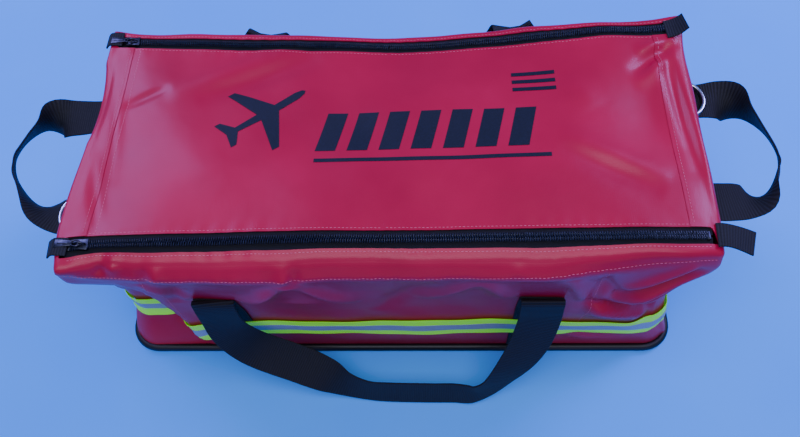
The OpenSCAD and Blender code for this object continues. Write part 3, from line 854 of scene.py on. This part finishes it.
# zips: woven tapes, coil, stops and tabs
zips = {"gap": 1.2, "tapeOut": 15.5, "outerHalf": 338, "innerHalf": 316, "coilHalf": 331,
        "stopAt": 333, "coilPitch": 2.54}


def tapePatch(name, sideY, outer, sRange):
    near, far = zips["gap"], zips["tapeOut"]
    away = 1 if outer else -1
    tRange = ordered(sideY * (bag["zipY"] + away * near), sideY * (bag["zipY"] + away * far))
    return patch(name, "top", sRange, tRange, -1.6, 0.9, cell=3.2)


# turns of monofilament standing along one edge of the zip
def coilRun(name, sideY, outer, sRange):
    bpy.ops.object.select_all(action="DESELECT")
    bpy.ops.mesh.primitive_torus_add(major_segments=8, minor_segments=5, major_radius=1.0, minor_radius=0.42,
                                     rotation=(0, math.pi / 2, 0))
    turn = bpy.context.object
    settle(turn)
    co = readCo(turn.data)
    co[:, 0] += 0.32 * co[:, 2]  # each turn leans into the next
    co *= np.array([1.2, 2.3, 1.35]) * mm
    writeCo(turn.data, co)
    hand = sideY if outer else -sideY
    start = sRange[0] + (0 if outer else zips["coilPitch"] / 2)
    along = np.arange(start, sRange[1], zips["coilPitch"])
    ideal = np.column_stack([along, np.full_like(along, sideY * bag["zipY"] + hand * 2.1),
                             np.full_like(along, bag["top"] + 0.2)])
    soft = soften(ideal)
    ahead = unit(np.gradient(soft, axis=0))
    across = unit(np.cross(np.array([0, 0, 1.0]), ahead))
    return repeat(name, turn, placesAt(soft * mm, ahead, across, np.cross(ahead, across)))


for sideY, word in ((-1, "front"), (1, "back")):
    tape = tapePatch(word + "_outer_zip_tape", sideY, True, (-zips["outerHalf"], zips["outerHalf"]))
    standFor(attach(tape, "shell"), [word + "_outer_tape"], tapeCloth)
    coil = coilRun(word + "_outer_zip_coil", sideY, True, (-zips["coilHalf"], zips["coilHalf"]))
    standFor(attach(coil, "shell"), [word + "_outer_coil"], coilNylon)
    for sideX, end in ((-1, "left"), (1, "right")):
        span = ordered(0, sideX * zips["innerHalf"])
        tape = onLid(tapePatch(word + "_inner_zip_tape_" + end, sideY, False, span))
        standFor(tape, [word + "_inner_tape"] if sideX < 0 else [], tapeCloth)
        coil = onLid(coilRun(word + "_inner_zip_coil_" + end, sideY, False, span))
        standFor(coil, [word + "_inner_coil"] if sideX < 0 else [], coilNylon)
        span = ordered(sideX * zips["innerHalf"], sideX * zips["outerHalf"])
        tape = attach(tapePatch(word + "_tape_end_" + end, sideY, False, span), "shell")
        standFor(tape, ["inner_tape_ends"] if sideX < 0 and sideY < 0 else [], tapeCloth)
        span = ordered(sideX * zips["innerHalf"], sideX * zips["coilHalf"])
        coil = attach(coilRun(word + "_coil_end_" + end, sideY, False, span), "shell")
        standFor(coil, ["inner_coil_ends"] if sideX < 0 and sideY < 0 else [], coilNylon)

stops = []
for sideX in (-1, 1):
    for sideY in (-1, 1):
        spot = soften([(sideX * zips["stopAt"], sideY * bag["zipY"], bag["top"] - 1.0)])[0]
        stops.append(bevelledBlock((3.6, 9.6, 3.0), spot, 0.7))
stops = join("zip_stops_crimped", stops)
smooth(stops)
standFor(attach(stops, "shell"), ["zip_stops"], gunmetal)
print("zips made")

# webbing tabs sewn over the ends of each zip
tabs = {
    "front_end_tab": [(340, -135, 306.0, 0, 1, 0), (346, -135.5, 307.2, 0.04, 1, 0),
                      (355, -137, 306.4, 0.14, 1, 0), (366, -139.5, 303.6, 0.3, 1, 0.03),
                      (378, -142.5, 299.4, 0.42, 1, 0.06)],
    "back_end_tab": [(331, 131, 306.6, 0, 1, 0), (337, 131.5, 308, 0, 1, 0), (343, 132, 310.6, 0.04, 1, 0.03),
                     (348, 133, 314, 0.08, 1, 0.06), (352, 134, 318, 0.1, 1, 0.1)],
    "front_start_tab": [(-330, -137, 306.4, 0, 1, 0), (-338, -137, 307.6, 0, 1, 0),
                        (-346, -137, 306.8, 0, 1, 0), (-352, -138, 302, 0, 1, 0.05)],
    "back_start_tab": [(-330, 138, 306.4, 0, 1, 0), (-338, 138, 307.6, 0, 1, 0), (-346, 138, 306.8, 0, 1, 0),
                       (-351, 138, 302, 0, 1, 0)],
}
sewnTabs = {}
for name, knots in tabs.items():
    width = 27 if "end_tab" in name else 21
    asCut = np.array([knots[0][0], math.copysign(bag["zipY"], knots[0][1]), bag["top"]])
    shift = soften([asCut])[0] - asCut
    knots = [tuple(np.array(k[:3]) + shift * np.array([0, 1, 1])) + tuple(k[3:]) for k in knots]
    sewnTabs[name] = webbing(name, knots, width, 2.0, spacing=2.5)
endTabs = join("zip_end_tabs_webbing", [sewnTabs["front_end_tab"], sewnTabs["back_end_tab"]])
standFor(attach(endTabs, "shell"), ["zip_end_tabs"], blackWeb)
startTabs = join("zip_start_tabs_webbing", [sewnTabs["front_start_tab"], sewnTabs["back_start_tab"]])
standFor(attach(startTabs, "shell"), ["zip_start_tabs"], blackWeb)

# reflective bands and sewn straps
trim = {"bandOut": 3.2, "bandThick": 0.6, "bandLow": 60.5, "bandHigh": 109.5,
        "stripeOut": 3.6, "stripeThick": 0.35, "stripeLow": 76, "stripeHigh": 94}
for face in ("front", "back", "left", "right"):
    longSide = face in ("front", "back")
    reach = halfLength(85) if longSide else bag["wall"]
    far = reach + trim["bandOut"]
    band = patch(face + "_lime_band", face, (-far, far), (trim["bandLow"], trim["bandHigh"]),
                 trim["bandOut"], trim["bandThick"], cell=4.0, flare=longSide)
    standFor(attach(band, "shell"), [face + "_band"], limeTapeWithPaintedGlow)
    far = reach + trim["stripeOut"]
    stripe = patch(face + "_silver_stripe", face, (-far, far), (trim["stripeLow"], trim["stripeHigh"]),
                   trim["stripeOut"], trim["stripeThick"], cell=3.6, flare=longSide)
    standFor(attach(stripe, "shell"), [face + "_stripe"], silverTape)

straps = {"front": (-204, 176), "back": (-190, 190), "left": (-66, 80), "right": (-57, 89)}
strapTops = {"front": 196, "back": 196, "left": 236, "right": 236}
for face, centres in straps.items():
    pieces = []
    for centre in centres:
        half = bag["webWidth"] / 2
        pieces.append(patch(face + "_strap", face, (centre - half, centre + half), (13, strapTops[face]),
                            bag["webThick"] + 0.1, bag["webThick"], cell=3.2))
    strap = join(face + "_strap_webbing", pieces)
    standFor(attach(strap, "shell"), [face + "_straps"], blackWeb)
print("bands and straps laid")

# carrying handles: where the webbing runs, and which way its width points
frontKnots = [
    (-204, -158.2, 182, 1, 0, 0), (-204, -160.0, 195, 1, 0, 0), (-203.6, -163.6, 201, 1, 0, 0),
    (-203, -167.6, 198, 1, 0, 0), (-202, -171, 184, 1, 0.02, 0), (-201, -173, 160, 1, 0.08, 0.04),
    (-196, -176, 122, 0.9, 0.4, 0.2), (-175, -181, 84, 0.66, 0.66, 0.34), (-124, -192, 56, 0.54, 0.75, 0.39),
    (-92, -202, 44, 0.46, 0.66, 0.6), (-66, -212, 35, 0.2, 0.36, 0.9), (-36, -219, 29.5, 0, 0.22, 0.97),
    (-7, -221, 28, 0, 0.22, 0.97), (46, -222, 28, 0, 0.22, 0.97), (76, -222, 28, -0.05, 0.22, 0.97),
    (96, -224, 31, -0.2, 0.2, 0.94), (114, -222, 37, -0.38, 0.0, 0.9), (133, -214, 52, -0.46, -0.04, 0.88),
    (156, -198, 86, -0.7, 0.14, 0.66), (170, -183, 122, -0.92, 0.16, 0.3), (176, -172, 160, -1, 0.06, 0.04),
    (176, -169, 186, -1, 0, 0), (176, -167.4, 198, -1, 0, 0), (176, -163.6, 201, -1, 0, 0),
    (176, -160.0, 195, -1, 0, 0), (176, -158.2, 182, -1, 0, 0),
]
loop = webbing("front_handle_webbing", frontKnots, bag["webWidth"], bag["webThick"], cup=0.5)
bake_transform(loop)
standFor(loop, ["front_handle"], blackWeb)

backKnots = [
    (-192, 160, 182, -1, 0, 0), (-191, 162, 200, -1, 0, 0), (-186, 166, 235, -1, 0, 0.1),
    (-173, 170, 258, -1, 0, 0.1), (-163, 173.5, 270, -1, 0, 0.05), (-160, 177, 273.5, -1, 0, 0.03),
    (-158, 181, 271, -1, 0, 0.03), (-152, 184, 254, -1, 0, 0.1), (-134, 186, 230, -0.7, 0, -0.5),
    (-106, 188, 212, -0.3, 0.1, -0.9), (-60, 190, 206, 0, 0.1, -1), (0, 191, 205, 0, 0.1, -1),
    (60, 190, 206, 0, 0.1, -1), (108, 188, 212, 0.3, 0.1, -0.9), (134, 186, 230, 0.7, 0, -0.5),
    (146, 184, 256, 1, 0, 0.1), (152, 181, 274, 1, 0, -0.14), (154, 177, 278, 1, 0, -0.14),
    (157, 173.5, 274, 1, 0, -0.12), (168, 170, 260, 1, 0, 0.02), (184, 166, 235, 1, 0, 0.1),
    (191, 162, 200, 1, 0, 0), (192, 160, 182, 1, 0, 0),
]
loop = webbing("back_handle_webbing", backKnots, bag["webWidth"], bag["webThick"], cup=0.5)
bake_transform(loop)
standFor(loop, ["back_handle", "back_handle_roots"], blackWeb)

leftKnots = [
    (-359, 80, 226, 0, 1, 0), (-363, 80, 233, 0, 1, 0), (-372, 80, 236, 0, 1, 0), (-392, 80, 234, 0, 1, 0.1),
    (-418, 81, 232, -0.1, 0.96, 0.3), (-436, 81, 231, 0.1, 0.5, 0.86), (-452, 71, 231, 0.42, -0.2, 0.88),
    (-468, 50, 230, 0.5, -0.36, 0.79), (-475, 22, 229, 0.5, -0.42, 0.75), (-467, -6, 229, 0.52, -0.44, 0.73),
    (-449, -30, 229, 0.5, -0.47, 0.72), (-430, -48, 230, 0.44, -0.6, 0.66), (-412, -58, 231, 0.3, -0.86, 0.4),
    (-390, -64, 232, 0.06, -1, 0.05), (-374, -66, 233, 0, -1, 0), (-363, -66, 231, 0, -1, 0),
    (-359, -66, 224, 0, -1, 0),
]
rightKnots = [
    (359, 89, 224, 0, 1, 0), (363, 89, 231, 0, 1, 0), (374, 89, 234, 0, 1, 0), (394, 90, 235, 0, 1, 0.1),
    (412, 90, 235, -0.08, 0.9, 0.4), (428, 84, 235, -0.3, 0.5, 0.8), (442, 70, 234, -0.42, 0, 0.9),
    (456, 46, 232, -0.46, -0.3, 0.83), (464, 18, 230, -0.45, -0.4, 0.8), (462, -6, 229, -0.44, -0.42, 0.8),
    (452, -26, 230, -0.44, -0.4, 0.8), (440, -42, 231, -0.4, -0.5, 0.76), (426, -52, 232, -0.2, -0.85, 0.46),
    (408, -55, 234, -0.05, -1, 0.1), (388, -57, 236, 0, -1, 0), (374, -57, 236, 0, -1, 0),
    (363, -57, 233, 0, -1, 0), (359, -57, 226, 0, -1, 0),
]
for word, knots, sideX in (("left", leftKnots, -1), ("right", rightKnots, 1)):
    loop = webbing(word + "_handle_webbing", knots, bag["webWidth"], bag["webThick"], cup=0.4)
    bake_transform(loop)
    standFor(loop, [word + "_handle"], blackWeb)
print("handles made")

# D-rings in their webbing keepers
ring = {"wire": 2.5, "radius": 28, "pivotX": 361.2, "pivotZ": 239.8, "left": -66, "right": 89}
for word, sideX, sideY in (("left", -1, -1), ("right", 1, 1)):
    arc = [(ring["pivotX"] + ring["radius"] * math.cos(a), ring["radius"] * math.sin(a))
           for a in np.linspace(-math.pi / 2, math.pi / 2, 33)]
    bar = [(ring["pivotX"], b) for b in np.linspace(ring["radius"], -ring["radius"], 16)[1:-1]]
    line = np.array([(sideX * a, ring[word] + b, ring["pivotZ"]) for a, b in arc + bar])
    dRing = wire(word + "_d_ring_wire", line, ring["wire"], sides=14)
    standFor(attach(dRing, word + "_ring"), [word + "_ring"], nickelSteel)
    x, z, y = ring["pivotX"], ring["pivotZ"], ring[word]
    knots = [(x - 6.5, z + 25), (x - 5.6, z + 16), (x - 2.0, z + 10), (x + 4.0, z + 8.6), (x + 9.0, z + 4.4),
             (x + 9.6, z - 1.4), (x + 5.6, z - 5.6), (x + 0.4, z - 6.2), (x - 3.6, z - 4.0)]
    knots = [(sideX * a, y, b, 0, 1, 0) for a, b in knots]
    keeper = webbing(word + "_ring_keeper_webbing", knots, 46, 1.9, spacing=1.6)
    standFor(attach(keeper, "shell"), [word + "_ring_keeper"], blackWeb)
print("rings made")

# sliders parked at the left end of their zips
sliderPlan = {"length": 17, "width": 13, "plate": 1.7, "low": 299.3, "high": 307.0, "parkX": -317.5}


def makeSlider(name, y):
    s = sliderPlan
    parts = []
    for z in (s["low"] + s["plate"] / 2, s["high"] - s["plate"] / 2):
        block = bevelledBlock((s["length"], s["width"], s["plate"]), (s["parkX"], y, z), 0.5)
        co = readCo(block.data) / mm
        inX = (co[:, 0] - s["parkX"]) / (s["length"] / 2)
        co[:, 1] = y + (co[:, 1] - y) * (0.86 + 0.16 * np.clip(inX, -1, 1))  # broad at the post
        writeCo(block.data, co * mm)
        parts.append(block)
    post = (s["parkX"] + 5, y, (s["high"] + s["low"]) / 2)
    parts.append(bevelledBlock((4.4, 2.6, s["high"] - s["low"] - 1), post, 0.5))
    for side in (-1, 1):
        flange = (s["parkX"], y + side * 5.4, s["high"] - 2.2)
        parts.append(bevelledBlock((s["length"] - 2, 1.2, 4.2), flange, 0.4))
    arch = [(s["parkX"] + 5.4 * math.cos(a), y, s["high"] - 0.6 + 4.6 * math.sin(a))
            for a in np.linspace(0.0, math.pi, 15)]
    parts.append(wire(name + "_bridge", arch, 1.15, sides=10, closed=False))
    obj = join(name, parts)
    smooth(obj)
    return obj


# a flat tapered tab on a short eye, lying outwards from the bridge
def makePull(name, y):
    x, z = sliderPlan["parkX"], 309.2
    parts = [bevelledBlock((18.5, 10.0, 1.7), (x - 17.2, y, z - 0.2), 0.6)]
    co = readCo(parts[0].data) / mm
    share = (co[:, 0] - (x - 8)) / -18.5
    co[:, 1] = y + (co[:, 1] - y) * (0.62 + 0.42 * np.clip(share, 0, 1))
    writeCo(parts[0].data, co * mm)
    eye = [(x - 4.2 + 5.0 * math.cos(a), y + 3.4 * math.sin(a), z)
           for a in np.arange(0, 2 * math.pi, math.pi / 12)]
    parts.append(wire(name + "_eye", eye, 0.95, sides=10))
    parts.append(bevelledBlock((12, 2.6, 0.8), (x - 17, y, z + 0.8), 0.3))
    obj = join(name, parts)
    smooth(obj)
    return obj


for sideY, word in ((-1, "front"), (1, "back")):
    ideal = np.array([(sliderPlan["parkX"], sideY * bag["zipY"], bag["top"])])
    shift = (soften(ideal) - ideal)[0] * np.array([0, 1, 1])
    slider = makeSlider(word + "_zip_slider", sideY * bag["zipY"])
    pull = makePull(word + "_zip_pull", sideY * bag["zipY"])
    for obj, body in ((slider, word + "_slider"), (pull, word + "_pull")):
        writeCo(obj.data, readCo(obj.data) + shift * mm)
        standFor(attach(obj, body), [body], gunmetal)
print("sliders made")

# printed emblem: a plain aeroplane, slanted bars and lines, cut fine enough to follow the cloth
emblem = {"cell": 7.0, "halfX": 196, "low": -35, "high": 84, "lift": 0.42, "ink": 0.3}
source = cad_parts["lid_print"]
for side, word in ((-1, "left"), (1, "right")):
    mesh = source.data.copy()
    obj = bpy.data.objects.new("lid_emblem_" + word, mesh)
    bpy.context.collection.objects.link(obj)
    only(obj)
    bpy.ops.object.mode_set(mode="EDIT")
    bpy.ops.mesh.select_mode(type="FACE")
    bpy.ops.mesh.select_all(action="SELECT")
    bpy.ops.mesh.remove_doubles(threshold=0.00001)
    bpy.ops.mesh.select_all(action="DESELECT")
    bpy.ops.object.mode_set(mode="OBJECT")
    for face in obj.data.polygons:
        face.select = face.normal.z < 0.9
    bpy.ops.object.mode_set(mode="EDIT")
    bpy.ops.mesh.delete(type="FACE")
    bpy.ops.mesh.select_all(action="SELECT")
    bpy.ops.mesh.bisect(plane_co=(0, 0, 0), plane_no=(1, 0, 0), clear_inner=side > 0, clear_outer=side < 0)
    for x in np.arange(-emblem["halfX"], emblem["halfX"] + 4, emblem["cell"]):
        if x * side > 1:
            bpy.ops.mesh.select_all(action="SELECT")
            bpy.ops.mesh.bisect(plane_co=(x * mm, 0, 0), plane_no=(1, 0, 0))
    for y in np.arange(emblem["low"], emblem["high"], emblem["cell"]):
        bpy.ops.mesh.select_all(action="SELECT")
        bpy.ops.mesh.bisect(plane_co=(0, y * mm, 0), plane_no=(0, 1, 0))
    bpy.ops.object.mode_set(mode="OBJECT")
    co = readCo(obj.data) / mm
    co[:, 2] = bag["top"] + emblem["lift"]
    writeCo(obj.data, soften(co) * mm)
    thicken(obj, emblem["ink"])
    onLid(obj)
    standFor(obj, ["lid_print"] if side < 0 else [], navyInk)
print("print laid")

# stitching
thread = {"length": 3.0, "pitch": 4.2, "radius": 0.3, "onCloth": 0.15, "onFlap": 0.95, "onWebbing": 2.45,
          "onBand": 3.35}


# lockstitches along rows of (wall, start, end, out)
def stitchRows(name, rows, thickness=1.0):
    bpy.ops.object.select_all(action="DESELECT")
    bpy.ops.mesh.primitive_uv_sphere_add(segments=6, ring_count=4, radius=1)
    seed = bpy.context.object
    seed.rotation_euler = (0, math.pi / 2, 0)
    settle(seed)
    co = readCo(seed.data)
    co *= np.array([0.5, thread["radius"] * mm * thickness, thread["radius"] * mm * thickness])
    writeCo(seed.data, co)
    places = []
    for face, start, end, out in rows:
        start, end = np.array(start, float), np.array(end, float)
        length = np.linalg.norm(end - start)
        count = max(1, int(length / thread["pitch"]))
        middle = (np.arange(count) + 0.5) / count
        reach = thread["length"] / 2 / length
        a = start + (middle - reach)[:, None] * (end - start)
        b = start + (middle + reach)[:, None] * (end - start)
        a = soften(onFace(face, a[:, 0], a[:, 1], out)) * mm
        b = soften(onFace(face, b[:, 0], b[:, 1], out)) * mm
        ahead = b - a
        straight = unit(ahead)
        sideways = unit(np.cross(np.broadcast_to(np.array(faceOut[face], float), straight.shape), straight))
        places.append(placesAt((a + b) / 2, ahead, sideways, np.cross(straight, sideways)))
    return repeat(name, seed, np.concatenate(places))


shellRows = []
for side, face in ((-1, "front"), (1, "back")):
    shellRows.append(("top", (-336, side * 147.6), (336, side * 147.6), thread["onCloth"]))
    shellRows.append((face, (-345, 286), (100, 286), thread["onCloth"]))
    shellRows.append((face, (100, 286), (345, 295 if face == "front" else 286), thread["onCloth"]))
    for s in (-1, 1):
        along = doublers["middle"][face] + s * 247
        shellRows.append((face, (along, 34), (along, 284), thread["onCloth"]))
for x in (-319, 319):
    shellRows.append(("top", (x, -122), (x, 122), thread["onFlap"]))
stitch = stitchRows("shell_stitching", shellRows)
standFor(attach(stitch, "shell"), [], palePolyThread)

for side, word in ((-1, "left"), (1, "right")):
    rows = [("top", (side * 2, y), (side * 314, y), thread["onCloth"]) for y in (-123.2, 123.2)]
    if side < 0:
        rows.append(("top", (-306, -122), (-306, 122), thread["onCloth"]))  # the flap's second row
    stitch = onLid(stitchRows("lid_stitching_" + word, rows))
    standFor(stitch, [], palePolyThread)

bandRows = []
for face in ("front", "back", "left", "right"):
    reach = 363 if face in ("front", "back") else 150
    for z in (62.6, 107.4):
        bandRows.append((face, (-reach, z), (reach, z), thread["onBand"]))
stitch = stitchRows("band_stitching", bandRows, 0.8)
limeThread = speckled("lime_polyester_thread", "#9be024", "#b4f03c", 1500, 0.0001,
                      **{"Roughness": 0.55, "IOR": 1.53})
standFor(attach(stitch, "shell"), [], limeThread)

boxRows = []
for face, centres in straps.items():
    top = strapTops[face] - 6  # the topmost row
    for centre in centres:
        a, b = centre - 22, centre + 22
        for low, high in ((top - 40, top), (16, 52)):
            for start, end in ((low, low), (high, high), (low, high), (high, low)):
                boxRows.append((face, (a, start), (b, end), thread["onWebbing"]))
        for edge in (a, b):
            boxRows.append((face, (edge, 16), (edge, top), thread["onWebbing"]))
stitch = stitchRows("webbing_stitching", boxRows)
standFor(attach(stitch, "shell"), [], blackThread)
print("stitching done")

# camera, floor and light
cameraData = bpy.data.cameras.new("camera")
cameraData.lens = 31.8
cameraData.sensor_width = 36
cameraData.clip_end = 50
camera = bpy.data.objects.new("camera", cameraData)
bpy.context.collection.objects.link(camera)
camera.location = (0.052, -0.4714, 0.9524)
camera.rotation_euler = (math.radians(28.99), math.radians(2.60), math.radians(0.80))
bpy.context.scene.camera = camera

floorMaterial = speckled("pale_painted_floor", "#3c99ff", "#449fff", 3, 0.0001,
                         **{"Roughness": 0.8, "Specular IOR Level": 0.2})
bpy.ops.object.select_all(action="DESELECT")
bpy.ops.mesh.primitive_plane_add(size=30, location=(0, 0, 0))
floor = bpy.context.object
floor.name = "floor"
wearMaterial(floor, floorMaterial)


def softLight(name, spot, target, size, power, colour):
    data = bpy.data.lights.new(name, "AREA")
    data.shape = "RECTANGLE"
    data.size, data.size_y = size
    data.energy = power
    data.color = linear(colour)[:3]
    light = bpy.data.objects.new(name, data)
    bpy.context.collection.objects.link(light)
    light.location = spot
    light.rotation_euler = (Vector(target) - Vector(spot)).to_track_quat("-Z", "Y").to_euler()


softLight("key", (-1.7, 1.5, 2.2), (-0.15, 0, 0.25), (1.0, 1.5), 56, "#a8a2ff")
softLight("side", (1.9, 1.1, 1.9), (0.2, 0, 0.25), (0.8, 1.2), 62, "#a8a2ff")
softLight("overhead", (0, -0.9, 3.4), (0, 0, 0), (3.0, 2.4), 100, "#f2f0ff")
softLight("fill", (0.1, -2.0, 0.7), (0, -0.1, 0.15), (1.8, 0.8), 4, "#ffd2d8")
world = bpy.data.worlds.new("studio")
bpy.context.scene.world = world
world.use_nodes = True
backdrop = world.node_tree.nodes["Background"]
backdrop.inputs["Color"].default_value = linear("#95aafa")
backdrop.inputs["Strength"].default_value = 0.64
